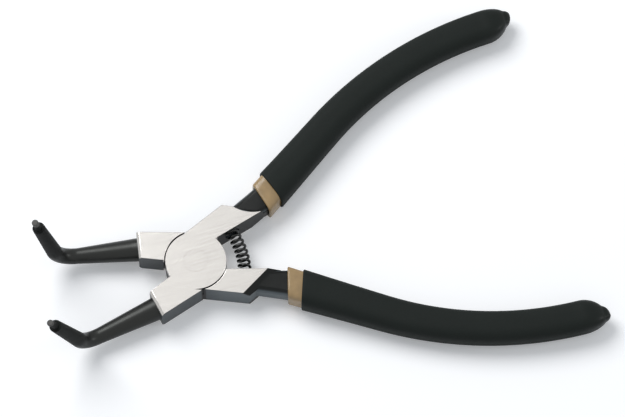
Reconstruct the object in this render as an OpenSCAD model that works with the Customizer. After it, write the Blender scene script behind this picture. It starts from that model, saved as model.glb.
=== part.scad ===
// Internal circlip pliers with bent tips, shown with the return spring holding them open.
// Each half is one forging: jaw, lap, arm and tang. The two forgings are the same piece turned
// over about the long axis of the tool, apart from the tips: both bend upwards, one a little more.
// +X runs along the tool towards the handles, the joint turns about Z, and Z is zero on the
// underside of the joint.

/* [Joint] */
// Thickness of the lap joint over both ground faces
joint_t = 9.6; // [8.6:0.1:11]
// Radius of the round joint disc
disc_r = 10; // [9:0.1:10.8]
// Gap of the seam round the disc
seam_gap = 0.3; // [0.15:0.05:0.5]
// Gap between the two lap faces
lap_gap = 0.1; // [0.05:0.05:0.3]
// Gap at the open stop, where a jaw head meets the arm of the other half
stop_gap = 0.15; // [0.05:0.05:0.4]

/* [Rivet] */
// Diameter of the rivet's shank
rivet_d = 5.6; // [4.5:0.1:6.6]
// Diameter of the countersunk heads where they are ground flush
rivet_head_d = 7.8; // [7:0.1:9]
// Depth of each countersunk head
rivet_head_h = 1.4; // [0.8:0.1:2]
// Radial running clearance in the half that turns on the rivet
rivet_play = 0.04; // [0.02:0.01:0.08]

/* [Jaw head] */
// Distance from the pivot to the front face of the head, along the tool
head_front = 16.7; // [15.5:0.1:19]
// Distance of the front face's centre from the tool's axis
jaw_offset = 10.7; // [10:0.1:12.5]
// Width of the front face
head_w = 9.2; // [8.2:0.1:10]
// Angle by which each jaw opens outwards
jaw_splay = 10.4; // [6:0.1:14]
// Angle of the head's outer wall to the tool's axis
head_outer_angle = 17.5; // [14:0.5:21]
// Angle of the head's inner wall to the tool's axis
head_inner_angle = 22.6; // [18:0.2:27]
// Chamfer on the upper and lower edges of the front face
head_chamfer = 0.8; // [0.5:0.1:0.9]

/* [Jaw and tip] */
// Diameter of the jaw where it leaves the head
jaw_root_d = 7.7; // [6.8:0.1:7.8]
// Diameter of the jaw through its bend
jaw_bend_d = 5.2; // [4.6:0.1:5.6]
// Length from the head to the corner of the bend
jaw_len = 26; // [22:0.2:30]
// Angle through which the top half's tip is bent
top_bend_angle = 71.5; // [60:0.5:85]
// Angle through which the bottom half's tip is bent
bottom_bend_angle = 79.5; // [60:0.5:85]
// Radius of the bend on the middle of the bar
bend_r = 7.5; // [6:0.1:10]
// Extra girth of the bend over the tapers that run into it
bend_swell = 0.04; // [0.02:0.01:0.1]
// Length from the corner of the bend to the end of the tip pin
tip_len = 35; // [30:0.5:40]
// Diameter of the shoulder behind the tip pin
shoulder_d = 4.1; // [3.4:0.1:4.4]
// Diameter of the tip pin
pin_d = 2.2; // [1.8:0.1:2.6]
// Length of the tip pin
pin_len = 5.4; // [4:0.1:7.5]
// Chamfer on the end of the tip pin
pin_chamfer = 0.25; // [0.1:0.05:0.4]

/* [Arm and neck] */
// Distance from the pivot to the line of the arm's inner wall
arm_inner_d = 3.05; // [2.7:0.05:3.6]
// Angle of the inner wall to the tool's axis
arm_inner_angle = 15.6; // [14.5:0.1:17]
// Distance from the pivot to the line of the arm's outer wall
arm_outer_d = 9.7; // [9.2:0.1:10]
// Angle of the outer wall to the tool's axis
arm_outer_angle = 22.8; // [20:0.2:24]
// Length of the outer wall, from its nearest point to the pivot to the shoulder
arm_len = 18.8; // [17:0.1:20.5]
// Angle at which the face on the lap side runs from the shoulder to the inner wall
lap_end_angle = -25.2; // [-28:0.2:-22]
// Radius of the scoop in that end
scoop_r = 12; // [10.5:0.1:14]
// Depth that the scoop takes out of the straight end
scoop_sag = 1.1; // [0.6:0.1:1.5]
// Length of the outer wall on the plain side, where the sloping end starts
plain_len = 16.5; // [15:0.1:18]
// Angle of the sloping end in plan
plain_end_angle = -30.6; // [-34:0.5:-27]
// Slope of that end below the plain face
plain_slope = 38; // [30:1:50]
// Width of the neck inside the arm, before it fans out
neck_w = 6; // [5.4:0.1:6.6]
// Angle by which the neck fans out towards the handle
neck_fan = 9.6; // [8:0.1:11]
// Thickness of the neck and the tang
neck_t = 6.8; // [6:0.1:7.6]
// Rounding of the long edges of the neck and the tang
neck_round = 1.8; // [1.4:0.1:2.6]
// Length along the inner wall to the front of the dipped sleeve
neck_len = 29.8; // [28:0.1:32]

/* [Handle] */
// Width of the tang
tang_w = 8.5; // [7.8:0.1:9.2]
// Angle of the straight stretch of the handle to the tool's axis
handle_angle = 33.9; // [31:0.1:37]
// Length of the straight stretch
handle_straight = 32.6; // [26:0.2:38]
// Radius of the handle's curve
handle_r = 118; // [105:1:140]
// Length of the tang, from the front of the sleeve along its middle line
tang_len = 99.2; // [92:0.2:106]
// Thickness of the inner dip, at its front
inner_dip_t = 1.15; // [0.8:0.05:1.5]
// Thickness that the inner dip loses towards its end
dip_thinning = 0.45; // [0.2:0.05:0.6]
// Length of inner dip that shows ahead of the grip
band_len = 5; // [3:0.1:8]
// Thickness of the grip over the inner dip, at its front
grip_t = 1; // [0.8:0.05:1.4]
// Thickness that the grip loses towards its end
grip_thinning = 0.5; // [0.2:0.05:0.6]
// Length of the rounded end that the dips build beyond the tang
end_len = 5.9; // [3:0.1:7]
// Length of the drip at the end of the grip
drip_len = 1; // [0.6:0.1:2]
// Gap in which each dipped layer bonds
bond_gap = 0.05; // [0.04:0.01:0.08]

/* [Spring] */
// Distance from the pivot to the middle of the spring
spring_reach = 15.5; // [14.8:0.1:16.5]
// Outside diameter of the spring
spring_d = 4.6; // [4:0.1:5]
// Diameter of its wire
wire_d = 0.9; // [0.7:0.05:1]
// Number of turns
spring_turns = 12; // [10:0.5:14]
// Depth of the pocket that holds each end of the spring
pocket_depth = 4; // [3:0.1:4.6]
// Radial clearance of the spring in its pockets
pocket_play = 0.3; // [0.2:0.05:0.5]
// Gap between the spring's ends and the pocket floors
seat_gap = 0.08; // [0.03:0.01:0.2]

/* [Hidden] */
$fn = 96;
half_t = joint_t / 2;
lap_z = lap_gap / 2;
// Length by which cutters run past the faces that they cut, and joined solids into each other
past = 2;
// Reach of a cutter that takes away everything on one side of a plane
cut_reach = 60;

steel_ground = "#EDEAE6";
steel_black = "#2B2F2E";
dip_tan = "#A08764";
dip_black = "#232825";

// Outline points of one half, with its lap upwards, its arm on +Y and its jaw on -Y
jaw_heading = 180 + jaw_splay;
front_mid = [-head_front, -jaw_offset];
front_out = front_mid + left_of(jaw_heading) * head_w / 2;
front_in = front_mid - left_of(jaw_heading) * head_w / 2;
other_arm = flip_y(on_line(arm_outer_d + stop_gap, arm_outer_angle, 0));
head_rear = meet(front_out, head_outer_angle, other_arm, -arm_outer_angle);
head_inside = meet(front_in, head_inner_angle, [0, 0], 90 + head_inner_angle);
inner_foot = on_line(arm_inner_d, arm_inner_angle, 0);
outer_foot = on_line(arm_outer_d, arm_outer_angle, 0);
shoulder = on_line(arm_outer_d, arm_outer_angle, arm_len);
plain_shoulder = on_line(arm_outer_d, arm_outer_angle, plain_len);
arm_tip = meet(shoulder, lap_end_angle, inner_foot, arm_inner_angle);

// The scoop's circle passes through the arm's tip and bites scoop_sag into the straight end
scoop_half = sqrt(2 * scoop_r * scoop_sag - scoop_sag * scoop_sag);
scoop_mid = arm_tip - along(lap_end_angle) * scoop_half
    + left_of(lap_end_angle) * (scoop_r - scoop_sag);

// Diameter of the jaw's tapers where they end inside the bend
bend_end_d = jaw_bend_d - bend_swell;
// Length by which straight bars run into bends, and the step that the bend of the tang is slimmer by
bend_join = 0.2;
tang_step = 0.04;

// Neck: two bars that fan out from a point inside the arm, cut off square to the inner wall
neck_from = 13;
neck_start = on_line(arm_inner_d + neck_w / 2, arm_inner_angle, neck_from);
neck_end_w = neck_w / 2 + neck_w / 2 / cos(neck_fan) + (neck_len - neck_from) * tan(neck_fan);
handle_start = on_line(arm_inner_d + neck_end_w / 2, arm_inner_angle, neck_len);
handle_bend = handle_start + along(handle_angle) * handle_straight;
handle_turn = (tang_len - handle_straight) / handle_r * 180 / PI;
// Length over which the sections of the dips turn from square to the neck to square to the handle
turn_len = 16;

// Each corner of a section has this many steps, and the dips have rings at these steps
corner_steps = 5;
straight_steps = 3;
curve_steps = 12;
end_steps = 5;
// The rounded end of the dips starts this far ahead of the tang's end
end_lead = 1.2;
// Share of the section that is left at the very end, where the drip hangs
drip_share = 0.38;
// Rings of the drip: share of its length, and share of its girth
drip_form = [[0.6, 0.95], [0.9, 0.7], [1, 0.35]];

// Spring: an arc about the point where the two inner walls would meet, with straight ends
wall_meet = -arm_inner_d / sin(arm_inner_angle);
spring_arc_r = spring_reach - wall_meet;
spring_arc = spring_arc_r * arm_inner_angle * PI / 180;
spring_half = spring_arc + pocket_depth - wire_d / 2 - seat_gap;
coil_r = (spring_d - wire_d) / 2;
coil_rise = atan2(2 * spring_half / spring_turns, 2 * PI * coil_r);
pocket_along = spring_arc_r - arm_inner_d / tan(arm_inner_angle);
steps_per_turn = 12;
wire_points = 8;

// Plan geometry: unit vectors, points on a line that passes d left of the pivot, and crossings
function along(a) = [cos(a), sin(a)];
function left_of(a) = [-sin(a), cos(a)];
function flip_y(p) = [p.x, -p.y];
function on_line(d, a, t) = d * left_of(a) + t * along(a);
function meet(p, a, q, b) = p + along(a) * ((q - p) * [sin(b), -cos(b)]) / sin(b - a);

// Smooth step from 0 to 1
function ease(u) = let (v = min(1, max(0, u))) v * v * (3 - 2 * v);
function mix(a, b, u) = a + (b - a) * u;

// Middle line of the handle: straight, then an arc that turns back towards the tool's axis
function tangent_at(s) = handle_angle - max(0, s - handle_straight) / handle_r * 180 / PI;
function handle_at(s) = handle_start + along(handle_angle) * min(s, handle_straight)
    + handle_r * (left_of(tangent_at(s)) - left_of(handle_angle));
function square_to(s) = mix(arm_inner_angle, tangent_at(s), ease(s / turn_len));

// A rounded rectangle of w by t with corners of radius r
function rounded(w, t, r) = [for (quarter = [0:3], k = [0:corner_steps])
    let (turn = 90 * (quarter + k / corner_steps))
    [(quarter % 3 == 0 ? 1 : -1) * (w / 2 - r) + r * cos(turn),
        (quarter < 2 ? 1 : -1) * (t / 2 - r) + r * sin(turn)]];
// A ring round the handle at s: the section of the tang grown by skin, shrunk by the end's share
function skin_ring(s, skin, share) = let (
        p = handle_at(s),
        a = square_to(s),
        lean = cos(tangent_at(s) - a))
    [for (q = rounded(tang_w + 2 * skin, neck_t + 2 * skin, neck_round + skin) * share)
        let (side = p + left_of(a) * q.x / lean) [side.x, side.y, q.y]];
// Skin left at s of a layer that loses thin by the start of its rounded end, most of it near the front
function thinned(s, skin, thin) = let (left = 1 - min(1, s / (tang_len - end_lead)))
    skin - thin * (1 - pow(left, 3));
// Rings of a layer skin outside the tang, from the front edge, with thin lost towards the end
function length_rings(from, to, skin, thin) = concat(
    from < band_len ? [skin_ring(from, thinned(from, skin, thin), 1)] : [],
    [for (k = [0:straight_steps - 1]) let (s = mix(band_len, handle_straight, k / straight_steps))
        skin_ring(s, thinned(s, skin, thin), 1)],
    [for (k = [0:curve_steps]) let (s = mix(handle_straight, to, k / curve_steps))
        skin_ring(s, thinned(s, skin, thin), 1)]);
function end_rings(skin) = [for (k = [1:end_steps]) let (turn = 90 * k / end_steps)
    skin_ring(tang_len - end_lead + (end_lead + end_len + skin) * sin(turn), skin,
        max(cos(turn), drip_share))];
function skin_rings(from, skin, thin) = concat(
    length_rings(from, tang_len - end_lead, skin, thin), end_rings(skin - thin));
function drip_rings(skin) = [for (f = drip_form)
    skin_ring(tang_len + end_len + skin + drip_len * f[0], skin, drip_share * f[1])];

// Middle line of the spring at v along it, counted from the tool's axis, and its direction
function spring_turn(v) = max(-1, min(1, v / spring_arc)) * arm_inner_angle;
function spring_at(v) = let (a = spring_turn(v))
    [wall_meet, 0] + spring_arc_r * along(a)
    + left_of(a) * (v - max(-spring_arc, min(spring_arc, v)));
// One ring of the wire, square to the wire where the coil has turned through phi
function wire_ring(v, phi) = let (
        a = spring_turn(v),
        out = concat(along(a) * cos(phi), sin(phi)),
        round = concat(-along(a) * sin(phi), cos(phi)),
        ahead = concat(left_of(a), 0),
        over = ahead * cos(coil_rise) - round * sin(coil_rise),
        mid = concat(spring_at(v), 0) + out * coil_r)
    [for (i = [0:wire_points - 1]) let (turn = 360 * i / wire_points)
        mid + (out * cos(turn) + over * sin(turn)) * wire_d / 2];

// Triangles between neighbouring rings, facing outwards, from the ring that starts at first
function sides(first, rings, n) = [for (i = [0:rings - 2], j = [0:n - 1])
    let (a = first + i * n + j, b = first + i * n + (j + 1) % n)
    each [[a, b + n, b], [a, a + n, b + n]]];
function reversed(faces) = [for (f = faces) [f[0], f[2], f[1]]];

// A closed solid through a row of rings
module loft(rings) {
    n = len(rings[0]);
    last = (len(rings) - 1) * n;
    front = [for (j = [0:n - 1]) j];
    back = [for (j = [n - 1:-1:0]) last + j];
    polyhedron([for (r = rings) each r], concat([front, back], sides(0, len(rings), n)));
}

// A closed-ended sleeve: outer rings and inner rings run back from the same open front
module sleeve(outer, inner) {
    n = len(outer[0]);
    in = len(outer) * n;
    back = [for (j = [n - 1:-1:0]) in - n + j];
    floor = [for (j = [0:n - 1]) in + (len(inner) - 1) * n + j];
    rim = [for (j = [0:n - 1]) let (k = (j + 1) % n) each [[j, k, in + k], [j, in + k, in + j]]];
    polyhedron([for (r = concat(outer, inner)) each r],
        concat([back, floor], rim, sides(0, len(outer), n), reversed(sides(in, len(inner), n))));
}

// Places a shape drawn with its lap upwards in the tool: as drawn, or turned over for the other half
module lap_up() {
    translate([0, 0, half_t]) children();
}
module lap_down() {
    translate([0, 0, half_t]) rotate([180, 0, 0]) children();
}

// Both heads of the rivet and its shank, grown by the play
module rivet_shape(play, end) {
    cylinder(d = rivet_d + 2 * play, h = joint_t + 2 * end, center = true);
    for (side = [0, 180]) {
        rotate([side, 0, 0]) translate([0, 0, half_t - rivet_head_h]) {
            cylinder(d1 = rivet_d + 2 * play, d2 = rivet_head_d + 2 * play, h = rivet_head_h);
        }
    }
}

// Jaw head, with both edges of its front face chamfered
module head() {
    cut = head_chamfer * sqrt(2);
    difference() {
        linear_extrude(joint_t, center = true) {
            polygon([front_in, front_out, head_rear, other_arm, [0, 0], head_inside]);
        }
        for (z = [-half_t, half_t]) {
            translate([front_mid.x, front_mid.y, z]) rotate([0, 0, jaw_heading])
                rotate([0, 45, 0]) cube([cut, head_w + 2 * past, cut], center = true);
        }
    }
}

// Tapered round jaw, drawn along X and bent towards Y, then stood on the head's front face
module jaw(bend_side, bend) {
    bend_run = bend_r * tan(bend / 2);
    shank_len = jaw_len - bend_run;
    shank_slope = (jaw_root_d - bend_end_d) / (shank_len + bend_join);
    root_d = jaw_root_d + shank_slope * past;
    translate([front_mid.x, front_mid.y, 0]) rotate([0, 0, jaw_heading]) rotate([90 * bend_side, 0, 0]) {
        translate([-past, 0, 0]) rotate([0, 90, 0]) {
            cylinder(d1 = root_d, d2 = bend_end_d, h = past + shank_len + bend_join);
        }
        translate([shank_len, bend_r, 0]) {
            rotate([0, 0, -90]) rotate_extrude(angle = bend) {
                translate([bend_r, 0]) circle(d = jaw_bend_d);
            }
            rotate([0, 0, bend]) translate([0, -bend_r, 0]) rotate([0, 90, 0]) {
                tip(tip_len - bend_run);
            }
        }
    }
}

// Tip beyond the bend, drawn along Z: a long taper, then the pin with its chamfered end
module tip(len) {
    taper_len = len - pin_len;
    translate([0, 0, -bend_join]) {
        cylinder(d1 = bend_end_d, d2 = shoulder_d, h = taper_len + bend_join);
    }
    translate([0, 0, taper_len]) cylinder(d = pin_d, h = pin_len - pin_chamfer);
    translate([0, 0, len - pin_chamfer]) {
        cylinder(d1 = pin_d, d2 = pin_d - 2 * pin_chamfer, h = pin_chamfer);
    }
}

// Arm between the disc and the neck: a scooped end on the lap side, a sloping end on the plain side
module arm() {
    difference() {
        linear_extrude(joint_t, center = true) {
            polygon([inner_foot, arm_tip, shoulder, outer_foot]);
        }
        translate([scoop_mid.x, scoop_mid.y, 0]) {
            cylinder(r1 = scoop_r - half_t, r2 = scoop_r + past, h = half_t + past);
        }
        translate([plain_shoulder.x, plain_shoulder.y, -half_t]) rotate([0, 0, plain_end_angle])
            rotate([plain_slope, 0, 0]) translate([-cut_reach / 2, 0, -cut_reach]) {
                cube([cut_reach, cut_reach, cut_reach]);
            }
    }
}

// A straight bar of width w along X, with the section of the neck and the tang
module bar(w, len) {
    rotate([90, 0, 90]) linear_extrude(len) polygon(rounded(w, neck_t, neck_round));
}

// Everything ahead of the front of the dipped sleeve, or behind it
module sleeve_front(ahead) {
    translate([handle_start.x, handle_start.y, 0]) rotate([0, 0, arm_inner_angle])
        translate([ahead ? -cut_reach : 0, -cut_reach / 2, -cut_reach / 2]) {
            cube([cut_reach, cut_reach, cut_reach]);
        }
}

// Neck, from inside the arm to the sleeve: two bars that fan out, and the flat web between them
module neck() {
    difference() {
        translate([neck_start.x, neck_start.y, 0]) rotate([0, 0, arm_inner_angle]) {
            for (fan = [0, neck_fan]) {
                rotate([0, 0, fan]) bar(neck_w, neck_len);
            }
            linear_extrude(neck_t, center = true) {
                polygon([[0, 0], neck_len * along(0), neck_len * along(neck_fan)]);
            }
        }
        sleeve_front(false);
    }
}

// Tang inside the dips: a straight bar, then the handle's curve, which is slimmer by tang_step
module tang() {
    difference() {
        translate([handle_bend.x, handle_bend.y, 0]) rotate([0, 0, handle_angle])
            translate([-2 * handle_straight, 0, 0]) bar(tang_w, 2 * handle_straight + bend_join);
        sleeve_front(true);
    }
    mid = handle_bend - left_of(handle_angle) * handle_r;
    translate([mid.x, mid.y, 0]) rotate([0, 0, handle_angle + 90 - handle_turn])
        rotate_extrude(angle = handle_turn) {
            translate([handle_r, 0])
                polygon(rounded(tang_w - tang_step, neck_t - tang_step, neck_round - tang_step / 2));
        }
}

// One forged half with its lap upwards; bend_side is 1 for a tip that bends to the lap side
module forged_half(bend_side, bend) {
    difference() {
        union() {
            translate([0, 0, -half_t]) cylinder(r = disc_r, h = joint_t);
            head();
            jaw(bend_side, bend);
            arm();
            neck();
            tang();
        }
        translate([0, 0, lap_z - joint_t]) cylinder(r = disc_r + seam_gap, h = joint_t);
        spring_pocket();
        children();
    }
}

// Blind hole square to the inner wall for one end of the spring
module spring_pocket() {
    mouth = on_line(arm_inner_d, arm_inner_angle, pocket_along);
    translate([mouth.x, mouth.y, 0]) rotate([0, 0, arm_inner_angle + 90]) rotate([0, 90, 0]) {
        translate([0, 0, -past]) cylinder(d = spring_d + 2 * pocket_play, h = pocket_depth + past);
    }
}

module inner_dip() {
    sleeve(skin_rings(0, inner_dip_t, dip_thinning),
        length_rings(0, tang_len + bond_gap, bond_gap, 0));
}

module grip() {
    cover = inner_dip_t + grip_t;
    thin = dip_thinning + grip_thinning;
    sleeve(concat(skin_rings(band_len, cover, thin), drip_rings(cover - thin)),
        skin_rings(band_len, inner_dip_t + bond_gap, dip_thinning));
}

module top_half() {
    color(steel_ground) lap_up() forged_half(1, top_bend_angle) rivet_shape(rivet_play, past);
}
module bottom_half() {
    color(steel_ground) lap_down() forged_half(-1, bottom_bend_angle) rivet_shape(0, past);
}
module pivot_rivet() {
    color(steel_ground) lap_up() rivet_shape(0, 0);
}
module return_spring() {
    steps = spring_turns * steps_per_turn;
    color(steel_black) lap_up() loft([for (k = [0:steps])
        wire_ring(mix(-spring_half, spring_half, k / steps), 360 * k / steps_per_turn)]);
}
module top_inner_dip() {
    color(dip_tan) lap_up() inner_dip();
}
module bottom_inner_dip() {
    color(dip_tan) lap_down() inner_dip();
}
module top_grip() {
    color(dip_black) lap_up() grip();
}
module bottom_grip() {
    color(dip_black) lap_down() grip();
}

top_half();
bottom_half();
pivot_rivet();
return_spring();
top_inner_dip();
bottom_inner_dip();
top_grip();
bottom_grip();
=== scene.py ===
import math
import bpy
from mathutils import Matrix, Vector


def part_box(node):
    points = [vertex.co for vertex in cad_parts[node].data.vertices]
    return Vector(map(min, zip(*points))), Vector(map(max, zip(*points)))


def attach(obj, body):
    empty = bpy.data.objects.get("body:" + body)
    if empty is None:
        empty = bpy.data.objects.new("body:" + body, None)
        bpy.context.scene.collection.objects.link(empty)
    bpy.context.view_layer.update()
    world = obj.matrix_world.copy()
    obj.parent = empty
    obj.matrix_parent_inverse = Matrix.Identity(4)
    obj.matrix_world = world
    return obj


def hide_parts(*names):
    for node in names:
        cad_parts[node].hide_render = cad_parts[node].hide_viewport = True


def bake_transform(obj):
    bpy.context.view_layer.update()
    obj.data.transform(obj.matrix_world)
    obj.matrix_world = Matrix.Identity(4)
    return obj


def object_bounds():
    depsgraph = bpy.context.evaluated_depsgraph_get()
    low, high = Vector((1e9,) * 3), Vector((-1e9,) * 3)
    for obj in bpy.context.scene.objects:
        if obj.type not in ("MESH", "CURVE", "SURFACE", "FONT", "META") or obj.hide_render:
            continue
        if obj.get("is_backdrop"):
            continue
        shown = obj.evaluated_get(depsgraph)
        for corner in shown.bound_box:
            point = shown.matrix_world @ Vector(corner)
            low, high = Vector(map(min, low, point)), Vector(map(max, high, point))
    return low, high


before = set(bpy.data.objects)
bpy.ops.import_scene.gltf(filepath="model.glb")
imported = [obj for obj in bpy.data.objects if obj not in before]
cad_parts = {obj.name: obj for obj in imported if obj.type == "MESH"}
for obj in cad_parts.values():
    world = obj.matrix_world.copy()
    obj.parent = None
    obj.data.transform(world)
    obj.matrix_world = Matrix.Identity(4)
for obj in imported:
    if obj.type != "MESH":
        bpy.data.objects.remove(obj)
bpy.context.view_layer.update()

from types import SimpleNamespace

import bmesh
import bpy
import numpy as np
from bpy.props import FloatProperty, FloatVectorProperty, IntProperty, PointerProperty
from mathutils import Matrix, Vector

bl_info = {
    "name": "Circlip Pliers",
    "version": (1, 0, 0),
    "blender": (4, 5, 0),
    "location": "3D View > Sidebar > Pliers",
    "description": "Dresses bent-tip circlip pliers: forged halves, return spring, dipped handles and a stage",
    "category": "Object",
}

MM = 0.001

# The two sides of the tool: piece prefix, body, and the sign of Y on which the handle lies
SIDES = (("top", "top", 1.0), ("bottom", "bottom", -1.0))

# Forgings: points that fall together, slivers, faces that count as one, and edges that are shaded sharp
SAME_POINT = 0.001 * MM
SLIVER = 0.05 * MM
ONE_FACE = math.radians(0.4)
SHARP_SHADE = math.radians(28)
# Corners sharper than this are broken, by a rounding of so many strips, up to just ahead of the dips. Where broken
# edges meet, points this close become one
SHARP_CORNER = math.radians(40)
BREAK_STRIPS = 2
DIP_MARGIN = 0.3 * MM
SAME_CORNER = 0.002 * MM

# Spring: points round its wire, and rings in each turn
WIRE_AROUND = 14
WIRE_PER_TURN = 40

# Dips: powers of the superellipses that they have as section, at the tan bands and under the black grips
BAND_POWER = 4.6
GRIP_POWER = 3.0
# Points round a ring, and the share below which a ring is drawn as a point
DIP_AROUND = 96
POINT_SHARE = 0.01
# Rings along the inside, round the lip, along the outside, over the inner and outer ends, and along the drip
INSIDE_RINGS, LIP_RINGS, OUTSIDE_RINGS = 60, 14, 150
INNER_END_RINGS, OUTER_END_RINGS, DRIP_RINGS = 18, 24, 30
# Width of the drip's foot, as a multiple of the drip's, and the share of its length at which it starts to round
DRIP_FOOT = 1.4
DRIP_ROUND_FROM = 0.35
# The grips are a hair thinner than the solids of the frame, whose sides are flat between their rings
GRIP_EASE = 0.03 * MM

# View of the photograph: direction, scale, distance and the point on the joint's top plane at its centre
PHOTO_WIDTH_PX = 625
SENSOR_MM = 36.0
CAMERA_AZIMUTH = math.radians(-16.69)
CAMERA_ELEVATION = math.radians(69.0)
PX_PER_MM = 3.06
FOCAL_PX = 6248.0
LOOK_AT = Vector((41.62, 6.4, 9.6)) * MM
CLIP_END = 20.0

# Stage: half the floor's side, the light that lifts it to white, the fill from all round, and the lamps' aim
FLOOR_REACH = 3.0
FLOOR_LIFT = 0.19
FILL = (0.385, 0.41, 0.435, 1)
WHITE = (1, 1, 1, 1)
LAMP_AIM = Vector((40, 0, 0)) * MM

# Settings and sockets of the Mix node, for colours and for plain numbers, and of a soft Map Range
MIX_COLOURS = {"data_type": "RGBA"}
COLOUR_A, COLOUR_B, COLOUR_OUT = 6, 7, 2
NUMBER_A, NUMBER_B = 2, 3
SMOOTH = {"interpolation_type": "SMOOTHSTEP"}


def linear(hex_code):
    """Linear RGB of an sRGB hex colour, by the standard transfer curve."""
    srgb = np.array([int(hex_code[i:i + 2], 16) for i in (1, 3, 5)]) / 255.0
    value = np.where(srgb <= 0.04045, srgb / 12.92, ((srgb + 0.055) / 1.055) ** 2.4)
    return tuple(float(c) for c in value)


def height_of(node):
    """Height of a node of the frame, in metres."""
    low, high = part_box(node)
    return high.z - low.z


def length(name, millimetres, about):
    """A length property whose default is given in millimetres."""
    return FloatProperty(name=name, description=about, default=millimetres * MM, unit="LENGTH", precision=5)


def angle(name, degrees, about):
    """An angle property whose default is given in degrees."""
    return FloatProperty(name=name, description=about, default=math.radians(degrees), subtype="ANGLE")


def colour(name, hex_code, about):
    """A colour property whose default is an sRGB hex value."""
    return FloatVectorProperty(name=name, description=about, subtype="COLOR", size=3, min=0, max=1,
                               default=linear(hex_code))


class PliersSizes(bpy.types.PropertyGroup):
    """Sizes of the pieces that are modelled over the frame."""
    joint_t: length("Joint thickness", height_of("pivot_rivet") / MM, "Thickness over both ground faces")
    disc_r: length("Disc radius", 10.0, "Radius of the round joint disc")
    seam_gap: length("Seam", 0.3, "Gap of the seam round the disc")
    stop_x: length("Stop along", -0.63, "Place of the open stop's corner along the tool")
    stop_y: length("Stop aside", 10.42, "Distance of the open stop's corner from the tool's axis")
    head_front: length("Head front", 16.7, "Distance from the pivot to the front faces of the jaw heads")
    jaw_offset: length("Jaw offset", 10.7, "Distance of a front face's centre from the tool's axis")
    jaw_splay: angle("Jaw splay", 10.4, "Angle by which each jaw opens outwards")
    head_chamfer: length("Head chamfer", 0.8, "Chamfer on the edges of the front faces")
    arm_inner_d: length("Inner wall offset", 3.05, "Distance from the pivot to the line of an arm's inner wall")
    arm_inner_angle: angle("Inner wall angle", 15.6, "Angle of an arm's inner wall to the tool's axis")
    arm_end_d: length("Arm end offset", 19.03, "Distance from the pivot to the sloping end of an arm's plain face")
    arm_end_angle: angle("Arm end angle", -30.6, "Angle of the sloping end to the tool's axis")
    arm_end_slope: angle("Arm end slope", 38.0, "Slope of that end from upright")
    arm_end_step: length("Arm end step", 1.85, "Length by which the arm's other face reaches further")
    neck_w: length("Neck width", 6.0, "Width of the neck inside the arm")
    neck_fan: angle("Neck fan", 9.6, "Angle by which the neck fans out")
    neck_from: length("Neck start", 13.0, "Length along the inner wall at which the neck starts")
    neck_len: length("Neck end", 29.8, "Length along the inner wall to the front of the inner dip")
    neck_t: length("Tang thickness", 6.8, "Thickness of the neck and the tang")
    tang_w: length("Tang width", 8.5, "Width of the tang")
    tang_len: length("Tang length", 99.2, "Length of the tang along its middle line")
    handle_angle: angle("Handle angle", 33.9, "Angle of the straight stretch of the handle")
    handle_straight: length("Straight stretch", 32.6, "Length of the straight stretch of the handle")
    handle_r: length("Handle curve", 118.0, "Radius of the handle's curve")
    turn_len: length("Edge turn", 16.0, "Length over which the dip edges turn square to the handle")
    inner_dip_t: length("Inner dip", 1.15, "Thickness of the tan inner dip")
    dip_thinning: length("Inner dip thinning", 0.45, "Thickness that the inner dip loses towards its end")
    grip_t: length("Grip", 1.0, "Thickness of the black grip over the inner dip")
    grip_thinning: length("Grip thinning", 0.5, "Thickness that the grip loses towards its end")
    band_len: length("Band", 5.0, "Length of inner dip that shows ahead of the grip")
    bond_gap: length("Bond gap", 0.05, "Gap in which each layer bonds")
    end_len: length("Rounded end", 5.9, "Length that the dips build beyond the tang")
    end_lead: length("End lead", 1.2, "Length ahead of the tang's end at which the rounding starts")
    drip_len: length("Drip", 1.0, "Length of the drip at the grip's end")
    end_lean: length("End lean", 1.7, "Outward lean of the rounded end at a point on its middle line")
    drip_share: FloatProperty(name="Drip share", description="Share of the grip's section that the drip hangs from",
                              default=0.42, min=0.1, max=0.6)
    spring_reach: length("Spring reach", 15.5, "Distance from the pivot to the middle of the spring")
    spring_d: length("Spring diameter", 4.6, "Outside diameter of the spring")
    wire_d: length("Wire", 0.9, "Diameter of the spring's wire")
    spring_turns: IntProperty(name="Turns", description="Number of turns of the spring", default=12, min=8, max=16)
    pocket_depth: length("Pocket", 4.0, "Depth of the pockets that hold the spring")
    seat_gap: length("Seat gap", 0.08, "Gap between the spring's ends and the pocket floors")
    edge_break: length("Edge break", 0.16, "Width of the broken edges of the forgings")


class PliersFinish(bpy.types.PropertyGroup):
    """Colours of the finishes, and of the painted reflection of the floor on the outer walls."""
    ground: colour("Ground steel", "#D5D2CE", "Bright ground faces of the joint")
    oxide: colour("Black oxide", "#0A0D0C", "Blackened jaws, necks and spring")
    # This grey is a painted reflection of the white floor on the outer walls, whose oxide is as black as the rest
    wall: colour("Forged wall", "#484E51", "Grey side walls of the joint")
    worn: colour("Worn oxide", "#353635", "Oxide of the jaws, rubbed thin by use")
    tan_dip: colour("Tan dip", "#997F58", "Inner vinyl dip")
    black_dip: colour("Black dip", "#161B19", "Outer vinyl grip")
    paper: colour("Floor", "#F7F7F8", "Pale floor")


def add(tree, kind, settings=None, inputs=None):
    """Adds one node, sets its properties, and sets or links its inputs by name or index. A node that is given
    as an input is linked by its first output."""
    made = tree.nodes.new(kind)
    for key, value in (settings or {}).items():
        setattr(made, key, value)
    for key, value in (inputs or {}).items():
        source = value.outputs[0] if isinstance(value, bpy.types.Node) else value
        if isinstance(source, bpy.types.NodeSocket):
            tree.links.new(source, made.inputs[key])
        else:
            made.inputs[key].default_value = source
    return made


def new_material(name):
    """An empty node material, its tree and its output node."""
    made = bpy.data.materials.new(name)
    made.use_nodes = True
    made.node_tree.nodes.clear()
    return made, made.node_tree, made.node_tree.nodes.new("ShaderNodeOutputMaterial")


def rgba(tone, share=1.0):
    """A colour for a socket: tone times share, opaque."""
    return (*(share * c for c in tone), 1)


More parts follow.
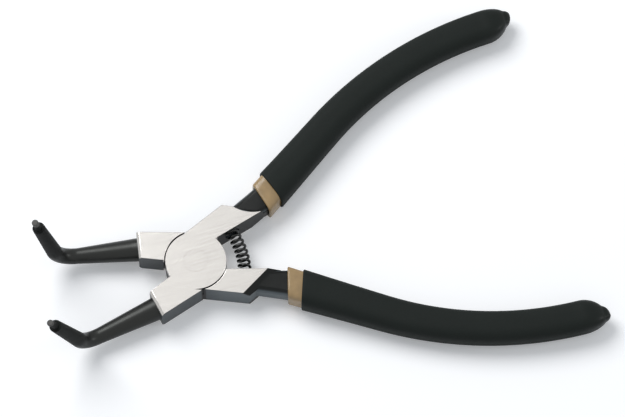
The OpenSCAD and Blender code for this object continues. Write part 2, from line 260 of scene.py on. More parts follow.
def ground_steel(tree, place, finish):
    """Ground steel, bright with fine straight scratches. Returns the scratches, the colour and the roughness."""
    # Scratches 15 mm long and about 0.3 mm apart, coarser than real so that they show
    long, apart, deep = 15 * MM, 0.3 * MM, 5 * MM
    lay = add(tree, "ShaderNodeMapping", inputs={
        0: place, "Rotation": (0, 0, math.radians(38)), "Scale": (1 / long, 1 / apart, 1 / deep)})
    scratch = add(tree, "ShaderNodeTexNoise", inputs={"Vector": lay, "Scale": 1.0, "Detail": 3.0})
    tone = add(tree, "ShaderNodeMix", MIX_COLOURS, {
        0: scratch, COLOUR_A: rgba(finish.ground, 0.8), COLOUR_B: rgba(finish.ground)})
    rough = add(tree, "ShaderNodeMapRange", inputs={"Value": scratch, "To Min": 0.14, "To Max": 0.22})
    return scratch, tone.outputs[COLOUR_OUT], rough


def forging_places(tree, sizes):
    """Where a point of a forging lies: its coordinates, its distance aside of the tool's axis, its level over
    mid-height and its rise from there either way, its distance behind the heads' front faces, its radius from
    the pivot, its distance from the open stop's corner, and whether it lies in a head or behind, and in the seam."""
    place = add(tree, "ShaderNodeTexCoord").outputs["Object"]
    axes = add(tree, "ShaderNodeSeparateXYZ", inputs={0: place}).outputs
    half = sizes.joint_t / 2
    level = add(tree, "ShaderNodeMath", {"operation": "SUBTRACT"}, {0: axes["Z"], 1: half})
    rise = add(tree, "ShaderNodeMath", {"operation": "ABSOLUTE"}, {0: level})
    aside = add(tree, "ShaderNodeMath", {"operation": "ABSOLUTE"}, {0: axes["Y"]})
    cos, sin = math.cos(sizes.jaw_splay), math.sin(sizes.jaw_splay)
    lead = add(tree, "ShaderNodeMath", {"operation": "MULTIPLY_ADD"},
               {0: axes["X"], 1: cos, 2: sizes.head_front * cos + sizes.jaw_offset * sin})
    behind = add(tree, "ShaderNodeMath", {"operation": "MULTIPLY_ADD"}, {0: aside, 1: -sin, 2: lead})
    head = add(tree, "ShaderNodeMath", {"operation": "GREATER_THAN"}, {0: behind, 1: 0.0})
    plan = add(tree, "ShaderNodeCombineXYZ", inputs={"X": axes["X"], "Y": aside})
    radius = add(tree, "ShaderNodeVectorMath", {"operation": "LENGTH"}, {0: plan}).outputs["Value"]
    corner = add(tree, "ShaderNodeVectorMath", {"operation": "DISTANCE"},
                 {0: plan, 1: (sizes.stop_x, sizes.stop_y, 0)}).outputs["Value"]
    seam = add(tree, "ShaderNodeMath", {"operation": "COMPARE"},
               {0: radius, 1: sizes.disc_r + sizes.seam_gap / 2, 2: 0.5 * MM})
    return SimpleNamespace(place=place, x=axes["X"], y=axes["Y"], z=axes["Z"], half=half, level=level, rise=rise,
                           aside=aside, behind=behind, head=head, radius=radius, corner=corner, seam=seam)


def bright_zones(tree, at, sizes):
    """Mask of the bright steel: ground faces and chamfers, rubbed pins, the turned seam and the rivet's hole."""
    # Only the last hundredths of a millimetre below a ground face are bright, so the broken edges stay dark. The
    # faces lie behind the front of the heads, so the jaws stay dark as well
    level_face = add(tree, "ShaderNodeMapRange", SMOOTH, {
        "Value": at.rise, "From Min": at.half - 0.04 * MM, "From Max": at.half - 0.01 * MM})
    below = add(tree, "ShaderNodeMath", {"operation": "LESS_THAN"}, {0: at.rise, 1: at.half + 0.05 * MM})
    face = add(tree, "ShaderNodeMath", {"operation": "MULTIPLY"}, {0: level_face, 1: below})
    bright = add(tree, "ShaderNodeMath", {"operation": "MULTIPLY"}, {0: face, 1: at.head})
    # On the chamfers of the heads' front faces, the distance behind the front face and the depth below the ground
    # face add up to the chamfer. They are ground more coarsely, so they are a little darker than the faces
    fall = add(tree, "ShaderNodeMath", {"operation": "SUBTRACT"}, {0: at.behind, 1: at.rise})
    slope = add(tree, "ShaderNodeMath", {"operation": "COMPARE"},
                {0: fall, 1: sizes.head_chamfer - at.half, 2: 0.06 * MM})
    coarse = add(tree, "ShaderNodeMath", {"operation": "MULTIPLY"}, {0: at.head, 1: 0.85})
    chamfer = add(tree, "ShaderNodeMath", {"operation": "MULTIPLY"}, {0: slope, 1: coarse})
    # Rings have rubbed the ends of the tip pins, so that some steel shows
    pin = add(tree, "ShaderNodeMapRange", SMOOTH, {
        "Value": at.z, "From Min": 36.6 * MM, "From Max": 38.2 * MM, "To Max": 0.17})
    # The round wall of the disc and the wall that it turns in are machined, so the seam between them is bright at
    # the top, away from the open stop
    clean = add(tree, "ShaderNodeMapRange", inputs={
        "Value": at.corner, "From Min": 5 * MM, "From Max": 7.5 * MM})
    top = add(tree, "ShaderNodeMapRange", inputs={
        "Value": at.rise, "From Min": at.half - 2.4 * MM, "From Max": at.half - 1.4 * MM})
    turned = add(tree, "ShaderNodeMath", {"operation": "MULTIPLY"}, {0: clean, 1: top})
    lathe = add(tree, "ShaderNodeMath", {"operation": "MULTIPLY"}, {0: at.seam, 1: turned})
    # So is the rivet's hole, well inside the disc
    bore = add(tree, "ShaderNodeMath", {"operation": "LESS_THAN"}, {0: at.radius, 1: 0.6 * sizes.disc_r})
    for zone in (chamfer, pin, lathe, bore):
        bright = add(tree, "ShaderNodeMath", {"operation": "MAXIMUM"}, {0: bright, 1: zone})
    return bright


def painted_floor_reflection_mask(tree, at, sizes):
    """Mask of the painted reflection of the white floor, which greys the outer walls of heads, arms and necks.
    The ends of the arms and the tops of the necks, which lie behind the arms and away from mid-height, get none
    and stay dark, and so do the walls between the arms."""
    # An arm's end slopes on its plain side, where Y and the level over mid-height differ in sign
    forth = add(tree, "ShaderNodeMath", {"operation": "MULTIPLY"}, {0: at.x, 1: -math.sin(sizes.arm_end_angle)})
    reach = add(tree, "ShaderNodeMath", {"operation": "MULTIPLY_ADD"},
                {0: at.aside, 1: math.cos(sizes.arm_end_angle), 2: forth})
    slant = math.tan(sizes.arm_end_slope)
    lift = add(tree, "ShaderNodeMath", {"operation": "MULTIPLY_ADD"},
               {0: at.rise, 1: slant, 2: sizes.arm_end_step - slant * at.half})
    twist = add(tree, "ShaderNodeMath", {"operation": "MULTIPLY"}, {0: at.y, 1: at.level})
    plain = add(tree, "ShaderNodeMath", {"operation": "LESS_THAN"}, {0: twist, 1: 0.0})
    end = add(tree, "ShaderNodeMath", {"operation": "MULTIPLY_ADD"}, {0: lift, 1: plain, 2: reach})
    end_d = sizes.arm_end_d + sizes.arm_end_step
    arm = add(tree, "ShaderNodeMapRange", inputs={
        "Value": end, "From Min": end_d - 0.1 * MM, "From Max": end_d - 0.3 * MM})
    middle = add(tree, "ShaderNodeMapRange", SMOOTH, {
        "Value": at.rise, "From Min": 3.2 * MM, "From Max": 2.4 * MM})
    floor_reflection = add(tree, "ShaderNodeMath", {"operation": "MAXIMUM"}, {0: arm, 1: middle})
    # The inner walls lie on the line of the arm's inner wall, and the outer ones lie outside it
    lean = add(tree, "ShaderNodeMath", {"operation": "MULTIPLY_ADD"},
               {0: at.x, 1: -math.sin(sizes.arm_inner_angle), 2: -sizes.arm_inner_d})
    inset = add(tree, "ShaderNodeMath", {"operation": "MULTIPLY_ADD"},
                {0: at.aside, 1: math.cos(sizes.arm_inner_angle), 2: lean})
    outside = add(tree, "ShaderNodeMath", {"operation": "GREATER_THAN"}, {0: inset, 1: 0.2 * MM})
    for zone in (outside, at.head):
        floor_reflection = add(tree, "ShaderNodeMath", {"operation": "MULTIPLY"}, {0: floor_reflection, 1: zone})
    return floor_reflection


def oxide_skin(tree, at, sizes, finish, mottle):
    """Black oxide with a faint mottle, greyed on the outer walls by a painted reflection of the floor, rubbed thin
    on the jaws, and darkened in the gaps by painted shade. Returns its colour and the mask of the rubbed jaws."""
    oxide = add(tree, "ShaderNodeMix", MIX_COLOURS, {
        0: mottle, COLOUR_A: rgba(finish.oxide, 0.7), COLOUR_B: rgba(finish.oxide, 1.35)})
    # Painted reflection of the white floor on the outer walls, darker on the heads' walls than behind the pivot
    aft = add(tree, "ShaderNodeMapRange", inputs={"Value": at.x, "From Min": -4 * MM, "From Max": 6 * MM})
    painted_wall_reflection = add(tree, "ShaderNodeMix", MIX_COLOURS, {
        0: aft, COLOUR_A: rgba(finish.wall, 0.8), COLOUR_B: rgba(finish.wall, 1.6)})
    # Where the mask is set, the oxide gives way to the painted reflection of the floor
    walls = add(tree, "ShaderNodeMix", MIX_COLOURS, {
        0: painted_floor_reflection_mask(tree, at, sizes), COLOUR_A: oxide.outputs[COLOUR_OUT], COLOUR_B: painted_wall_reflection.outputs[COLOUR_OUT]})
    # Use has rubbed the oxide of the jaws thin, less towards their bends, and steel gleams through it
    front = add(tree, "ShaderNodeMath", {"operation": "SUBTRACT"}, {0: 1.0, 1: at.head})
    use = add(tree, "ShaderNodeMapRange", SMOOTH, {
        "Value": at.x, "From Min": -46 * MM, "From Max": -38 * MM, "To Max": 0.9})
    worn = add(tree, "ShaderNodeMath", {"operation": "MULTIPLY"}, {0: front, 1: use})
    skin = add(tree, "ShaderNodeMix", MIX_COLOURS, {
        0: worn, COLOUR_A: walls.outputs[COLOUR_OUT], COLOUR_B: rgba(finish.worn)})
    # Painted shade darkens the seam round the disc and the gaps of the open stop
    stop_gap_shade = add(tree, "ShaderNodeMapRange", inputs={
        "Value": at.corner, "From Min": 0.6 * MM, "From Max": 0.25 * MM})
    painted_gap_shade = add(tree, "ShaderNodeMath", {"operation": "MAXIMUM"}, {0: at.seam, 1: stop_gap_shade})
    gap_shaded_skin = add(tree, "ShaderNodeMix", MIX_COLOURS, {
        0: painted_gap_shade, COLOUR_A: skin.outputs[COLOUR_OUT], COLOUR_B: rgba(finish.oxide, 0.4)})
    return gap_shaded_skin.outputs[COLOUR_OUT], worn


def forged_steel(sizes, finish):
    """Forged tool steel. The top and bottom faces are ground, so they are bright with fine straight scratches;
    everything else is black oxide, a dark satin skin with a faint mottle, greyed on the outer walls by a painted
    reflection of the floor, rubbed to a gleam on the jaws, and darkened by painted shade in the seam of the joint."""
    made, tree, out = new_material("forged_steel_ground_and_oxide")
    at = forging_places(tree, sizes)
    bright = bright_zones(tree, at, sizes)
    scratch, ground, rough_ground = ground_steel(tree, at.place, finish)
    # Mottle of the oxide, about 2 mm across
    mottle = add(tree, "ShaderNodeTexNoise", inputs={"Vector": at.place, "Scale": 1 / (2 * MM), "Detail": 4.0})
    oxide, worn = oxide_skin(tree, at, sizes, finish, mottle)
    base = add(tree, "ShaderNodeMix", MIX_COLOURS, {0: bright, COLOUR_A: oxide, COLOUR_B: ground})
    metal = add(tree, "ShaderNodeMath", {"operation": "MAXIMUM"}, {0: bright, 1: worn})
    rough_oxide = add(tree, "ShaderNodeMapRange", inputs={"Value": mottle, "To Min": 0.28, "To Max": 0.42})
    # The tips above the bends were hardened once more, which left them dull
    dull = add(tree, "ShaderNodeMapRange", SMOOTH, {
        "Value": at.z, "From Min": 9 * MM, "From Max": 14 * MM, "To Max": 0.4})
    rough_dull = add(tree, "ShaderNodeMath", {"operation": "ADD"}, {0: rough_oxide, 1: dull})
    rough = add(tree, "ShaderNodeMix", inputs={0: bright, NUMBER_A: rough_dull, NUMBER_B: rough_ground})
    grain = add(tree, "ShaderNodeMix", inputs={0: bright, NUMBER_A: mottle, NUMBER_B: scratch})
    bump = add(tree, "ShaderNodeBump", inputs={"Strength": 0.25, "Distance": 0.02 * MM, "Height": grain})
    shader = add(tree, "ShaderNodeBsdfPrincipled", inputs={
        "Base Color": base.outputs[COLOUR_OUT], "Metallic": metal, "Roughness": rough, "Normal": bump,
        "Specular IOR Level": 0.2})
    tree.links.new(shader.outputs[0], out.inputs[0])
    return made


def rivet_steel(finish):
    """Mild steel rivet, its heads ground flush with the faces: bright, with the same fine scratches."""
    made, tree, out = new_material("rivet_steel_ground")
    place = add(tree, "ShaderNodeTexCoord").outputs["Object"]
    _, ground, rough = ground_steel(tree, place, finish)
    shader = add(tree, "ShaderNodeBsdfPrincipled", inputs={
        "Base Color": ground, "Metallic": 1.0, "Roughness": rough})
    tree.links.new(shader.outputs[0], out.inputs[0])
    return made


def spring_steel(finish):
    """Music wire with a black oxide skin: dark, satin, with small bright highlights on each coil."""
    made, tree, out = new_material("spring_wire_black_oxide")
    place = add(tree, "ShaderNodeTexCoord").outputs["Object"]
    # Drawing marks and oxide bloom about 0.5 mm across
    bloom = add(tree, "ShaderNodeTexNoise", inputs={"Vector": place, "Scale": 1 / (0.5 * MM), "Detail": 3.0})
    base = add(tree, "ShaderNodeMix", MIX_COLOURS, {
        0: bloom, COLOUR_A: rgba(finish.oxide, 0.4), COLOUR_B: rgba(finish.oxide, 0.9)})
    rough = add(tree, "ShaderNodeMapRange", inputs={"Value": bloom, "To Min": 0.15, "To Max": 0.26})
    shader = add(tree, "ShaderNodeBsdfPrincipled", inputs={
        "Base Color": base.outputs[COLOUR_OUT], "Roughness": rough, "Specular IOR Level": 0.45})
    tree.links.new(shader.outputs[0], out.inputs[0])
    return made


def dipped_vinyl(name, tone, roughness, gloss, grain_mm, grain_depth_mm, cloud_mm, cloud):
    """Plastisol vinyl, dipped and cured: an even skin with soft clouding and a fine pebble, drawn smooth and
    shinier at the end that dripped last."""
    made, tree, out = new_material(name)
    place = add(tree, "ShaderNodeTexCoord").outputs["Object"]
    axes = add(tree, "ShaderNodeSeparateXYZ", inputs={0: place}).outputs
    # The shine sets in over the last centimetre of the handle
    shine = add(tree, "ShaderNodeMapRange", SMOOTH, {
        "Value": axes["X"], "From Min": 112 * MM, "From Max": 120 * MM, "To Max": 0.26})
    # Clouding from uneven curing
    clouds = add(tree, "ShaderNodeTexNoise", inputs={
        "Vector": place, "Scale": 1 / (cloud_mm * MM), "Detail": 2.0})
    pebble = add(tree, "ShaderNodeTexNoise", inputs={
        "Vector": place, "Scale": 1 / (grain_mm * MM), "Detail": 2.0})
    base = add(tree, "ShaderNodeMix", MIX_COLOURS, {
        0: clouds, COLOUR_A: rgba(tone, 1 - cloud), COLOUR_B: rgba(tone, 1 + cloud)})
    spread = 0.08
    rough = add(tree, "ShaderNodeMapRange", inputs={
        "Value": pebble, "To Min": roughness - spread, "To Max": roughness + spread})
    even = add(tree, "ShaderNodeMath", {"operation": "SUBTRACT"}, {0: rough, 1: shine})
    bump = add(tree, "ShaderNodeBump", inputs={
        "Strength": 0.5, "Distance": grain_depth_mm * MM, "Height": pebble})
    shader = add(tree, "ShaderNodeBsdfPrincipled", inputs={
        "Base Color": base.outputs[COLOUR_OUT], "Roughness": even, "Normal": bump, "Specular IOR Level": gloss})
    tree.links.new(shader.outputs[0], out.inputs[0])
    return made


def seen_white(tree):
    """Mask of the rays that come from the camera or from a mirror, to which floor and surround look white."""
    path = add(tree, "ShaderNodeLightPath").outputs
    return add(tree, "ShaderNodeMath", {"operation": "MAXIMUM"},
               {0: path["Is Camera Ray"], 1: path["Is Glossy Ray"]})


def pale_floor(finish):
    """Matt white paper: it takes the soft shadow, and a faint lift keeps it white to the camera and in mirrors."""
    made, tree, out = new_material("floor_white_paper")
    lift = add(tree, "ShaderNodeMath", {"operation": "MULTIPLY"}, {0: seen_white(tree), 1: FLOOR_LIFT})
    matt = add(tree, "ShaderNodeBsdfDiffuse", inputs={"Color": rgba(finish.paper)})
    glow = add(tree, "ShaderNodeEmission", inputs={"Color": WHITE, "Strength": lift})
    both = add(tree, "ShaderNodeAddShader", inputs={0: matt, 1: glow})
    tree.links.new(both.outputs[0], out.inputs[0])
    return made


def along(a):
    """Unit vectors in plan at angles a."""
    return np.stack([np.cos(a), np.sin(a)], -1)


def left_of(a):
    """Unit vectors in plan to the left of angles a."""
    return np.stack([-np.sin(a), np.cos(a)], -1)


def ease(u):
    """Smooth step from 0 to 1: three u squared less two u cubed."""
    v = np.clip(u, 0, 1)
    return v * v * (3 - 2 * v)


def handle_line(sizes, s):
    """Middle line of the handle at lengths s: a straight stretch, then an arc that turns back to the axis.
    Returns points in plan, directions, and the directions that the sections stand square to."""
    fan = math.tan(sizes.neck_fan) * (sizes.neck_len - sizes.neck_from)
    neck_end_w = sizes.neck_w / 2 * (1 + 1 / math.cos(sizes.neck_fan)) + fan
    start = (left_of(sizes.arm_inner_angle) * (sizes.arm_inner_d + neck_end_w / 2)
             + along(sizes.arm_inner_angle) * sizes.neck_len)
    heading = sizes.handle_angle - np.maximum(0, s - sizes.handle_straight) / sizes.handle_r
    straight = np.minimum(s, sizes.handle_straight)
    points = (start + along(sizes.handle_angle) * straight[:, None]
              + sizes.handle_r * (left_of(heading) - left_of(sizes.handle_angle)))
    square = sizes.arm_inner_angle + (heading - sizes.arm_inner_angle) * ease(s / sizes.turn_len)
    return points, heading, square


def dip_rings(sizes, s, skin, share, power):
    """Rings of a dipped layer: at each length s, a superellipse of the tang's section grown by skin and
    shrunk by share, standing square to the eased direction of the handle. Rings that shrink lean outwards,
    by end_lean times what they lost."""
    points, heading, square = handle_line(sizes, s)
    turn = np.linspace(0, 2 * np.pi, DIP_AROUND, endpoint=False)
    across = np.sign(np.cos(turn)) * np.abs(np.cos(turn)) ** (2 / power[:, None])
    upward = np.sign(np.sin(turn)) * np.abs(np.sin(turn)) ** (2 / power[:, None])
    half_w = (sizes.tang_w / 2 + skin) * share / np.cos(heading - square)
    half_t = (sizes.neck_t / 2 + skin) * share
    aside = half_w[:, None] * across + (sizes.end_lean * (1 - share))[:, None]
    plan = points[:, None, :] + left_of(square)[:, None, :] * aside[..., None]
    z = sizes.joint_t / 2 + half_t[:, None] * upward
    return np.concatenate([plan, z[..., None]], -1)


def layer_run(sizes, front, inner, outer, inner_thin, outer_thin, drip):
    """Lengths, skins and shares of one layer, from the middle of its inner end forward to the lip, round the
    lip on a half circle, and back over the outside to the rounded end and its drip. Skins thin with the cube
    of the length that is left; ends are quarter ellipses."""
    round_at = sizes.tang_len - sizes.end_lead
    deep = sizes.end_lead + sizes.end_len

    def thinned(s, skin, thin):
        return skin - thin * (1 - (1 - np.minimum(1, s / round_at)) ** 3)

    start = front + (outer - inner) / 2
    lip_in, lip_out = thinned(start, inner, inner_thin), thinned(start, outer, outer_thin)
    lip_r = (lip_out - lip_in) / 2
    inside = np.linspace(round_at, start, INSIDE_RINGS)
    lip = np.linspace(0, np.pi, LIP_RINGS)[1:-1]
    outside = np.linspace(start, round_at, OUTSIDE_RINGS)
    in_dome = np.linspace(math.pi / 2, 0, INNER_END_RINGS)[:-1]
    foot = DRIP_FOOT * sizes.drip_share
    out_dome = np.linspace(0, math.pi / 2 if drip <= 0 else math.acos(foot), OUTER_END_RINGS)[1:]
    end_skin = outer - outer_thin
    s = [round_at + (deep + inner - inner_thin) * np.sin(in_dome), inside,
         start - lip_r * np.sin(lip), outside, round_at + (deep + end_skin) * np.sin(out_dome)]
    skin = [np.full(in_dome.size, inner - inner_thin), thinned(inside, inner, inner_thin),
            lip_in + lip_r * (1 - np.cos(lip)), thinned(outside, outer, outer_thin),
            np.full(out_dome.size, end_skin)]
    share = [np.cos(in_dome), np.ones(inside.size + lip.size + outside.size), np.cos(out_dome)]
    if drip > 0:
        # The drip flares into the dome at its foot, with a cube, and is rounded over its end on a quarter ellipse
        along_drip = np.linspace(0, 1, DRIP_RINGS)[1:]
        stand = s[-1][-1]
        reach = round_at + deep + end_skin + drip - stand
        rounding = np.maximum(0, (along_drip - DRIP_ROUND_FROM) / (1 - DRIP_ROUND_FROM))
        flare = (foot - sizes.drip_share) * (1 - along_drip) ** 3
        s.append(stand + reach * along_drip)
        skin.append(np.full(along_drip.size, end_skin))
        share.append(sizes.drip_share * np.sqrt(1 - rounding ** 2) + flare)
    return np.concatenate(s), np.concatenate(skin), np.concatenate(share)


def loft(name, rings):
    """A closed mesh through rings of equal count, each end drawn together on the middle of its last ring."""
    count, around = rings.shape[:2]
    ends = np.stack([rings[0].mean(0), rings[-1].mean(0)])
    verts = np.concatenate([rings.reshape(-1, 3), ends])
    i, j = np.meshgrid(np.arange(count - 1), np.arange(around), indexing="ij")
    a, b = i * around + j, i * around + (j + 1) % around
    quads = np.stack([a, b, b + around, a + around], -1).reshape(-1, 4)
    k = np.arange(around)
    nxt = (k + 1) % around
    last = (count - 1) * around
    front = np.stack([np.full(around, count * around), nxt, k], -1)
    back = np.stack([np.full(around, count * around + 1), last + k, last + nxt], -1)
    mesh = bpy.data.meshes.new(name)
    mesh.from_pydata(verts.tolist(), [], quads.tolist() + front.tolist() + back.tolist())
    mesh.polygons.foreach_set("use_smooth", np.ones(len(mesh.polygons), bool))
    mesh.update()
    made = bpy.data.objects.new(name, mesh)
    bpy.context.scene.collection.objects.link(made)
    return made


def layer_piece(name, sizes, run, side, power):
    """One dipped layer on the handle of one side; the other side is its mirror image in the tool's axis.
    Its section has the given power at the front and the grip's power from one band length further back."""
    s, skin, share = run
    keep = share > POINT_SHARE
    powers = power + (GRIP_POWER - power) * ease(s / sizes.band_len - 1)
    rings = dip_rings(sizes, s[keep], skin[keep], share[keep], powers[keep])
    rings[..., 1] *= side
    return loft(name, rings if side > 0 else rings[:, ::-1])


def spring_rings(sizes):
    """Rings of the spring's wire: a helix about a middle line that runs straight out of one pocket, along an
    arc about the point where the arms' inner walls would meet, and straight into the other pocket. Returns them
    and the end of the middle line."""
    wall = sizes.arm_inner_angle
    meet = -sizes.arm_inner_d / math.sin(wall)
    arc_r = sizes.spring_reach - meet
    arc = arc_r * wall
    half = arc + sizes.pocket_depth - sizes.wire_d / 2 - sizes.seat_gap
    coil_r = (sizes.spring_d - sizes.wire_d) / 2
    count = sizes.spring_turns * WIRE_PER_TURN + 1
    u = np.linspace(-1, 1, count)
    v = u * half
    phi = 2 * np.pi * sizes.spring_turns * (u + 1) / 2
    a = np.clip(v / arc, -1, 1) * wall
    line = np.array([meet, 0]) + arc_r * along(a) + left_of(a) * (v - np.clip(v, -arc, arc))[:, None]
    flat = np.zeros((count, 1))
    outward = np.concatenate([along(a) * np.cos(phi)[:, None], np.sin(phi)[:, None]], -1)
    forward = np.concatenate([-along(a) * np.sin(phi)[:, None], np.cos(phi)[:, None]], -1)
    ahead = np.concatenate([left_of(a), flat], -1)
    rise = math.atan2(2 * half / sizes.spring_turns, 2 * np.pi * coil_r)
    over = ahead * math.cos(rise) - forward * math.sin(rise)
    mid = np.concatenate([line, flat + sizes.joint_t / 2], -1) + outward * coil_r
    turn = np.linspace(0, 2 * np.pi, WIRE_AROUND, endpoint=False)
    rings = mid[:, None, :] + sizes.wire_d / 2 * (outward[:, None, :] * np.cos(turn)[None, :, None]
                                                  + over[:, None, :] * np.sin(turn)[None, :, None])
    end = np.array([meet, 0]) + arc_r * along(wall) + left_of(wall) * (half - arc)
    return rings, end


def is_broken(sizes, edge):
    """Whether an edge of a forging is a sharp outer corner that shows. The rivet's hole is left out, as it is
    ground flush, and so are the smooth bends of the jaws and the tang inside the dips."""
    middle = (edge.verts[0].co + edge.verts[1].co) / 2
    reach = middle.x * math.cos(sizes.arm_inner_angle) + abs(middle.y) * math.sin(sizes.arm_inner_angle)
    in_hole = middle.xy.length <= 0.9 * sizes.disc_r
    on_bend = middle.x < -2 * sizes.head_front and middle.z < 2 * sizes.joint_t
    in_dip = reach >= sizes.neck_len - DIP_MARGIN
    return edge.is_convex and edge.calc_face_angle(0) > SHARP_CORNER and not (in_hole or on_bend or in_dip)


def forged_copy(node, name, sizes):
    """A copy of a forged half with its triangles joined into whole faces and its sharp edges broken."""
    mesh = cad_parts[node].data.copy()
    mesh.name = name
    shape = bmesh.new()
    shape.from_mesh(mesh)
    bmesh.ops.remove_doubles(shape, verts=shape.verts, dist=SAME_POINT)
    bmesh.ops.dissolve_degenerate(shape, dist=SLIVER, edges=shape.edges)
    bmesh.ops.dissolve_limit(shape, angle_limit=ONE_FACE, verts=shape.verts, edges=shape.edges)
    weight = shape.edges.layers.float.new("bevel_weight_edge")
    for edge in shape.edges:
        edge[weight] = float(is_broken(sizes, edge))
    shape.to_mesh(mesh)
    shape.free()
    mesh.polygons.foreach_set("use_smooth", np.ones(len(mesh.polygons), bool))
    mesh.set_sharp_from_angle(angle=SHARP_SHADE)
    made = bpy.data.objects.new(name, mesh)
    bpy.context.scene.collection.objects.link(made)
    bevel = made.modifiers.new("broken_edges", "BEVEL")
    bevel.width = sizes.edge_break
    bevel.segments = BREAK_STRIPS
    # A few very short edges in corners would otherwise hold the break to nothing
    bevel.use_clamp_overlap = False
    bevel.limit_method = "WEIGHT"
    weld = made.modifiers.new("closed_corners", "WELD")
    weld.merge_threshold = SAME_CORNER
    # The largest faces alone set the normals, so that they stay flat up to the breaks
    normals = made.modifiers.new("flat_faces", "WEIGHTED_NORMAL")
    normals.weight = 100
    normals.keep_sharp = True
    return made


def dress(piece, material):
    """Gives a piece one material."""
    piece.data.materials.clear()
    piece.data.materials.append(material)


class PLIERS_OT_halves(bpy.types.Operator):
    """Forged halves with broken edges, and the rivet that is ground flush between them"""
    bl_idname = "pliers.halves"
    bl_label = "Forged halves and rivet"

    def execute(self, context):
        sizes, finish = context.scene.pliers_sizes, context.scene.pliers_finish
        steel = forged_steel(sizes, finish)
        for prefix, body, _ in SIDES:
            piece = forged_copy(f"{prefix}_half", f"{prefix}_half_forging", sizes)
            dress(piece, steel)
            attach(piece, body)
            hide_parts(f"{prefix}_half")
        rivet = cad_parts["pivot_rivet"]
        rivet.data.materials.clear()
        rivet.data.materials.append(rivet_steel(finish))
        return {"FINISHED"}


class PLIERS_OT_spring(bpy.types.Operator):
    """Coil return spring between the two arms"""
    bl_idname = "pliers.spring"
    bl_label = "Return spring"

    def execute(self, context):
        sizes, finish = context.scene.pliers_sizes, context.scene.pliers_finish
        rings, end = spring_rings(sizes)
        piece = loft("return_spring_coil", rings)
        dress(piece, spring_steel(finish))
        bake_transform(piece)
        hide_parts("return_spring")
        return {"FINISHED"}


class PLIERS_OT_inner_dips(bpy.types.Operator):
    """Tan inner dips, which show as a band ahead of each grip"""
    bl_idname = "pliers.inner_dips"
    bl_label = "Tan inner dips"

    def execute(self, context):
        sizes, finish = context.scene.pliers_sizes, context.scene.pliers_finish
        vinyl = dipped_vinyl("tan_vinyl_dip", finish.tan_dip, roughness=0.2, gloss=0.5, grain_mm=0.9,
                             grain_depth_mm=0.04, cloud_mm=3.0, cloud=0.3)
        run = layer_run(sizes, front=0.0, inner=sizes.bond_gap, outer=sizes.inner_dip_t,
                        inner_thin=0.0, outer_thin=sizes.dip_thinning, drip=0.0)
        for prefix, body, side in SIDES:
            piece = layer_piece(f"{prefix}_inner_dip_skin", sizes, run, side, BAND_POWER)
            dress(piece, vinyl)
            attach(piece, body)
            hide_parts(f"{prefix}_inner_dip")
        return {"FINISHED"}


class PLIERS_OT_grips(bpy.types.Operator):
    """Black dipped grips with a rolled front lip, a rounded end and the drip left by the dipping"""
    bl_idname = "pliers.grips"
    bl_label = "Black grips"

    def execute(self, context):
        sizes, finish = context.scene.pliers_sizes, context.scene.pliers_finish
        vinyl = dipped_vinyl("black_vinyl_dip", finish.black_dip, roughness=0.62, gloss=0.14, grain_mm=0.7,
                             grain_depth_mm=0.05, cloud_mm=8.0, cloud=0.12)
        run = layer_run(sizes, front=sizes.band_len, inner=sizes.inner_dip_t + sizes.bond_gap,
                        outer=sizes.inner_dip_t + sizes.grip_t - GRIP_EASE, inner_thin=sizes.dip_thinning,
                        outer_thin=sizes.dip_thinning + sizes.grip_thinning, drip=sizes.drip_len)
        for prefix, body, side in SIDES:
            piece = layer_piece(f"{prefix}_grip_skin", sizes, run, side, GRIP_POWER)
            dress(piece, vinyl)
            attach(piece, body)
            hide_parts(f"{prefix}_grip")
        return {"FINISHED"}


def camera_axes():
    """Right, up and back of the camera in the frame, from its azimuth and elevation."""
    a, e = CAMERA_AZIMUTH, CAMERA_ELEVATION
    right = Vector((math.cos(a), math.sin(a), 0))
    back = Vector((math.sin(a) * math.cos(e), -math.cos(a) * math.cos(e), math.sin(e)))
    return right, back.cross(right), back


def make_camera(scene):
    """A long lens square to the picture, at the distance that gives the photograph's scale."""
    right, up, back = camera_axes()
    data = bpy.data.cameras.new("photo_camera")
    data.sensor_width = SENSOR_MM
    data.lens = SENSOR_MM * FOCAL_PX / PHOTO_WIDTH_PX
    data.clip_end = CLIP_END
    made = bpy.data.objects.new("photo_camera", data)
    made.matrix_world = Matrix((right, up, back)).transposed().to_4x4()
    made.location = LOOK_AT + back * (FOCAL_PX / PX_PER_MM * MM)
    scene.collection.objects.link(made)
    scene.camera = made


def make_floor(height, material):
    """A flat square floor just under the object."""
    corners = [(-FLOOR_REACH, -FLOOR_REACH, height), (FLOOR_REACH, -FLOOR_REACH, height),
               (FLOOR_REACH, FLOOR_REACH, height), (-FLOOR_REACH, FLOOR_REACH, height)]
    mesh = bpy.data.meshes.new("floor")
    mesh.from_pydata(corners, [], [(0, 1, 2, 3)])
    mesh.materials.append(material)
    made = bpy.data.objects.new("floor", mesh)
    bpy.context.scene.collection.objects.link(made)
    made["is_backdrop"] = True


def make_world(scene):
    """Even surround: a soft and slightly cool fill on the object, plain white to the camera and in mirrors."""
    world = bpy.data.worlds.new("white_studio")
    world.use_nodes = True
    tree = world.node_tree
    tree.nodes.clear()
    tone = add(tree, "ShaderNodeMix", MIX_COLOURS, {0: seen_white(tree), COLOUR_A: FILL, COLOUR_B: WHITE})
    back = add(tree, "ShaderNodeBackground", inputs={"Color": tone.outputs[COLOUR_OUT], "Strength": 1.0})
    add(tree, "ShaderNodeOutputWorld", inputs={0: back})
    scene.world = world


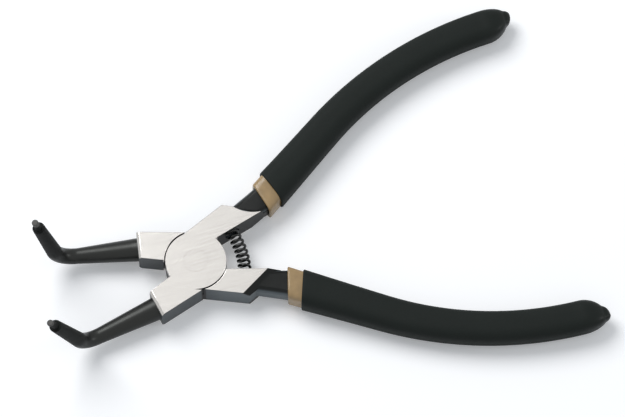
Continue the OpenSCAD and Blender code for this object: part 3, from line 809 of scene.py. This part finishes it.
def add_lamp(scene, name, away, tilt, distance, size, energy):
    """A round area lamp that stands off from its aim, tilted from overhead in the direction away."""
    direction = away.normalized() * math.sin(tilt) + Vector((0, 0, math.cos(tilt)))
    data = bpy.data.lights.new(name, "AREA")
    data.shape = "DISK"
    data.size = size
    data.energy = energy
    made = bpy.data.objects.new(name, data)
    made.location = LAMP_AIM + direction * distance
    made.rotation_euler = direction.to_track_quat("Z", "Y").to_euler()
    scene.collection.objects.link(made)


def make_lamps(scene):
    """A key lamp above the tool's far side, so that soft shadows fall towards the viewer's right, and a low
    side lamp for glints."""
    right, up, _ = camera_axes()
    far = Vector((up.x, up.y, 0)).normalized()
    add_lamp(scene, "key_lamp", away=far - right, tilt=math.radians(38), distance=1.2, size=0.8, energy=9.8)
    add_lamp(scene, "side_lamp", away=right, tilt=math.radians(68), distance=1.2, size=0.35, energy=1.6)


class PLIERS_OT_stage(bpy.types.Operator):
    """Pale floor, soft studio light and the camera at the photograph's angle"""
    bl_idname = "pliers.stage"
    bl_label = "Stage, light and camera"

    def execute(self, context):
        scene = context.scene
        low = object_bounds()[0]
        make_floor(low.z, pale_floor(scene.pliers_finish))
        make_world(scene)
        make_lamps(scene)
        make_camera(scene)
        scene.view_settings.view_transform = "Standard"
        return {"FINISHED"}


class PLIERS_PT_panel(bpy.types.Panel):
    """Lists the steps that dress the tool"""
    bl_idname = "PLIERS_PT_panel"
    bl_label = "Circlip pliers"
    bl_space_type = "VIEW_3D"
    bl_region_type = "UI"
    bl_category = "Pliers"

    def draw(self, context):
        for step in STEPS:
            self.layout.operator(step.bl_idname)


STEPS = (PLIERS_OT_halves, PLIERS_OT_spring, PLIERS_OT_inner_dips, PLIERS_OT_grips, PLIERS_OT_stage)
CLASSES = (PliersSizes, PliersFinish, *STEPS, PLIERS_PT_panel)


def register():
    for item in CLASSES:
        bpy.utils.register_class(item)
    bpy.types.Scene.pliers_sizes = PointerProperty(type=PliersSizes)
    bpy.types.Scene.pliers_finish = PointerProperty(type=PliersFinish)


def unregister():
    del bpy.types.Scene.pliers_finish
    del bpy.types.Scene.pliers_sizes
    for item in reversed(CLASSES):
        bpy.utils.unregister_class(item)


def main():
    """Registers the add-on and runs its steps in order."""
    register()
    bpy.ops.pliers.halves()
    bpy.ops.pliers.spring()
    bpy.ops.pliers.inner_dips()
    bpy.ops.pliers.grips()
    bpy.ops.pliers.stage()


if __name__ == "__main__":
    main()
